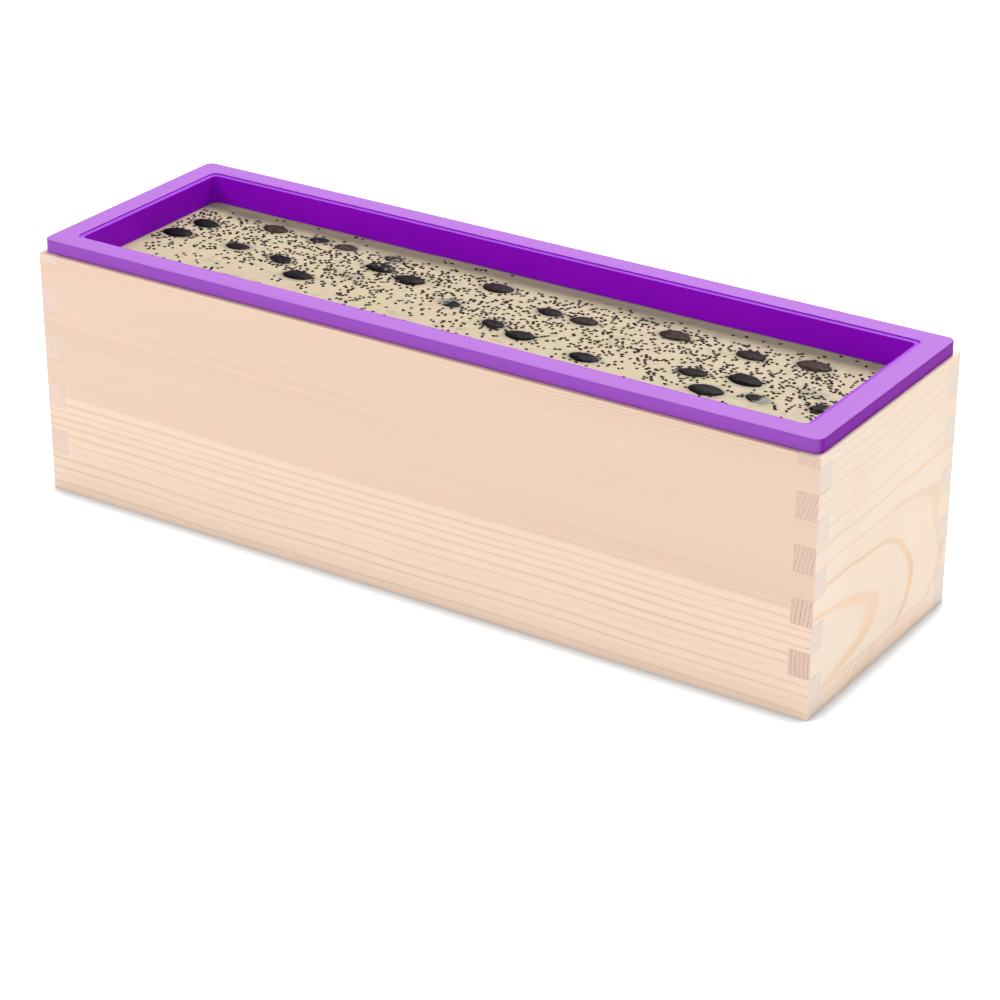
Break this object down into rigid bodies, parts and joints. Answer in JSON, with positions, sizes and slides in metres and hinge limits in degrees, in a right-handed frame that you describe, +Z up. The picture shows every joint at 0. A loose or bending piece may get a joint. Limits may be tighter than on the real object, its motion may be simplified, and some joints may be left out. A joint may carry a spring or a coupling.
{
  "type": "soap loaf mould",
  "caption": "Finger-jointed wooden box holding a lift-out silicone loaf liner, filled with a poured soap loaf topped with coffee beans.",
  "frame": {"origin": "centre of the box's underside, on the surface it stands on", "axes": "+X along the loaf to the right end board, +Y from the front board to the back board, +Z up out of the mould's mouth"},
  "size_m": [0.285, 0.09, 0.0891],
  "materials": {
    "pine": "bare sanded pine, satin",
    "silicone": "smooth satin purple silicone",
    "soap": "matt cream soap with fine dark seeds",
    "coffee_bean": "dark roasted, slightly oily satin"
  },
  "bodies": {
    "box": {"front_board": "pine", "back_board": "pine", "left_end_board": "pine", "right_end_board": "pine", "base_board": "pine"},
    "liner": {"silicone_liner": "silicone"},
    "loaf": {"soap_loaf": "soap", "coffee_beans": "coffee_bean"}
  },
  "joints": [
    {"name": "liner_lift", "type": "slide", "parent": "box", "child": "liner", "axis": [0, 0, 1], "range_m": [0, 0.09]},
    {"name": "loaf_lift", "type": "slide", "parent": "liner", "child": "loaf", "axis": [0, 0, 1], "range_m": [0, 0.085]}
  ]
}
